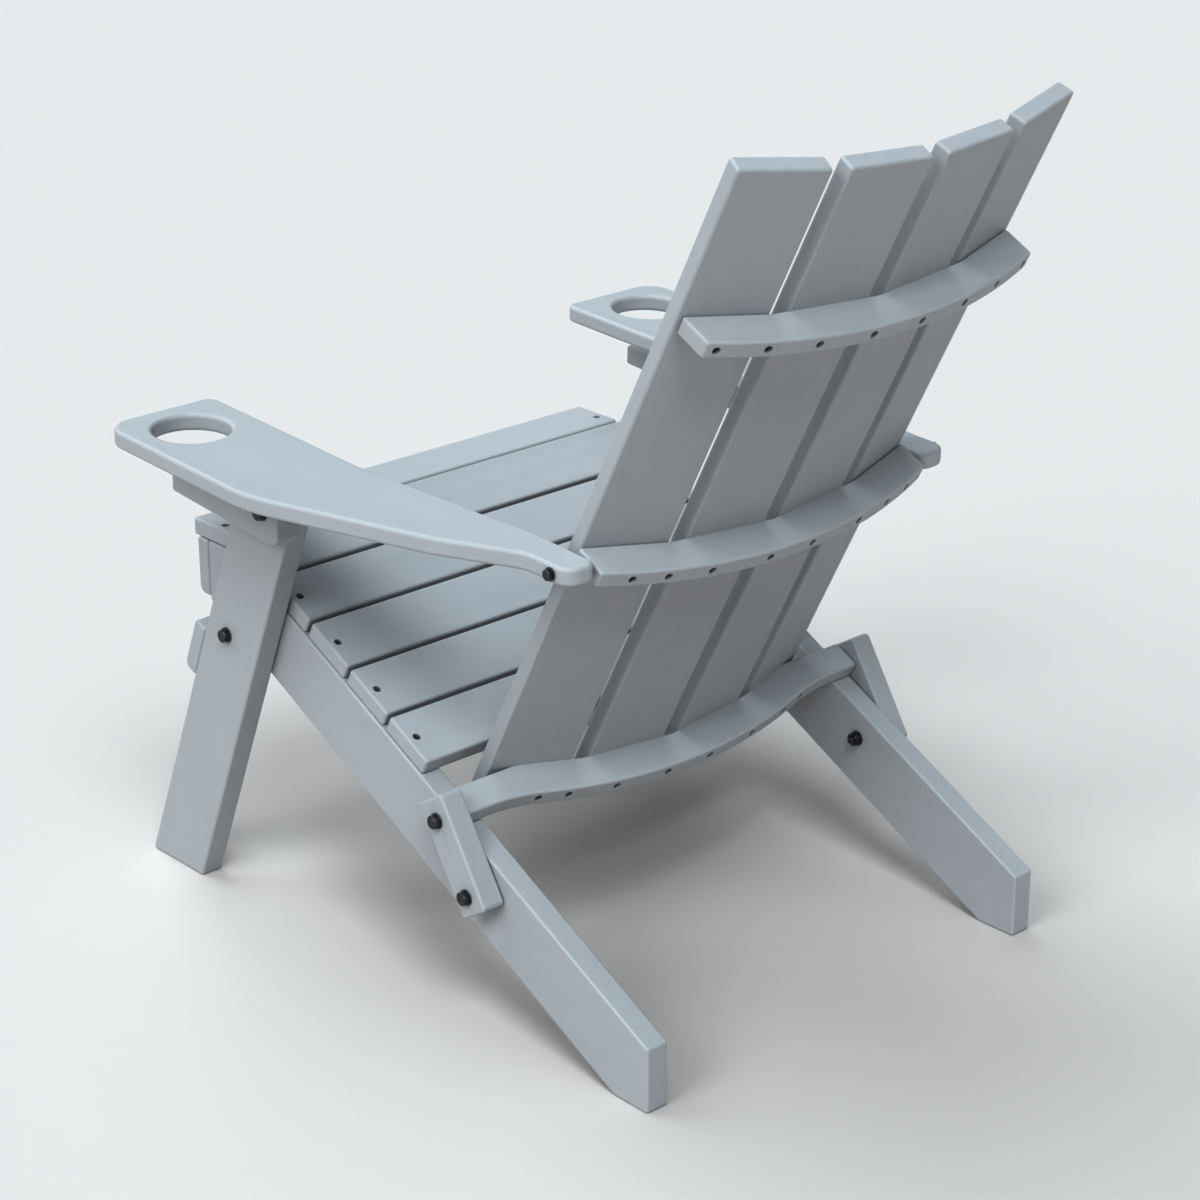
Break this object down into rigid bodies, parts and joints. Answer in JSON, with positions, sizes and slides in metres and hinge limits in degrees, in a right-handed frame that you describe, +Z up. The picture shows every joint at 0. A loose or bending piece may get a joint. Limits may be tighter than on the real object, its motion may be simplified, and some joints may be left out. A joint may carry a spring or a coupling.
{
  "type": "adirondack chair",
  "caption": "Folding low garden chair of plastic boards: fan of back slats on curved rails, sloping seat, broad arms with a cup hole, legs that turn on bolts.",
  "frame": {"origin": "on the ground, in the middle of the chair's bounding box", "axes": "+X is the sitter's left, +Y is the rear, +Z is up; the chair is a mirror image about the YZ plane"},
  "size_m": [0.728, 0.8163, 0.8773],
  "materials": {
    "board": "satin moulded-through plastic lumber",
    "bolt_steel": "darkened steel",
    "washer_steel": "dull zinc",
    "screw_steel": "dark steel"
  },
  "bodies": {
    "frame": {"stringer_left": "board", "stringer_right": "board", "seat_slat_1": "board", "seat_slat_2": "board", "seat_slat_3": "board", "seat_slat_4": "board", "seat_slat_5": "board", "seat_slat_6": "board", "front_apron": "board", "seat_screws": "screw_steel", "apron_screws": "screw_steel", "leg_pivot_bolts": "bolt_steel", "leg_pivot_washers": "washer_steel", "leg_pivot_nuts": "bolt_steel", "link_pivot_bolts": "bolt_steel", "link_pivot_washers": "washer_steel", "link_pivot_nuts": "bolt_steel"},
    "links": {"side_link_left": "board", "side_link_right": "board"},
    "back": {"back_slat_1": "board", "back_slat_2": "board", "back_slat_3": "board", "back_slat_4": "board", "back_rail_top": "board", "back_rail_middle": "board", "back_rail_bottom": "board", "top_rail_screws": "screw_steel", "middle_rail_screws": "screw_steel", "bottom_rail_screws": "screw_steel", "link_rail_bolts": "bolt_steel", "link_rail_washers": "washer_steel", "link_rail_inserts": "bolt_steel", "arm_rail_bolts": "bolt_steel", "arm_rail_washers": "washer_steel", "arm_rail_inserts": "bolt_steel"},
    "legs": {"front_leg_left": "board", "front_leg_right": "board", "leg_stretcher": "board", "stretcher_screws": "screw_steel"},
    "arm_left": {"arm_left": "board", "arm_bracket_left": "board", "bracket_screws_left": "screw_steel", "arm_leg_bolt_left": "bolt_steel", "arm_leg_washers_left": "washer_steel", "arm_leg_nut_left": "bolt_steel"},
    "arm_right": {"arm_right": "board", "arm_bracket_right": "board", "bracket_screws_right": "screw_steel", "arm_leg_bolt_right": "bolt_steel", "arm_leg_washers_right": "washer_steel", "arm_leg_nut_right": "bolt_steel"}
  },
  "joints": [
    {"name": "link_turn", "type": "hinge", "parent": "frame", "child": "links", "pos_m": [0, 0.115, 0.1445], "axis": [1, 0, 0], "range_deg": [-47.15, 0]},
    {"name": "back_fold", "type": "hinge", "parent": "links", "child": "back", "pos_m": [0, 0.0741, 0.20876], "axis": [1, 0, 0], "range_deg": [0, 120]},
    {"name": "leg_fold", "type": "hinge", "parent": "frame", "child": "legs", "pos_m": [0, -0.253, 0.2945], "axis": [1, 0, 0], "range_deg": [0, 94.3]},
    {"name": "arm_turn_left", "type": "hinge", "parent": "back", "child": "arm_left", "pos_m": [0, 0.19073, 0.47956], "axis": [1, 0, 0], "range_deg": [-72.2, 0]},
    {"name": "arm_turn_right", "type": "hinge", "parent": "back", "child": "arm_right", "pos_m": [0, 0.19073, 0.47956], "axis": [1, 0, 0], "range_deg": [-72.2, 0]}
  ],
  "couplings": [
    {"joint": "link_turn", "follows": "back_fold", "ratio": -0.3929},
    {"joint": "leg_fold", "follows": "back_fold", "ratio": 0.7858},
    {"joint": "arm_turn_left", "follows": "back_fold", "ratio": -0.6017},
    {"joint": "arm_turn_right", "follows": "back_fold", "ratio": -0.6017}
  ]
}
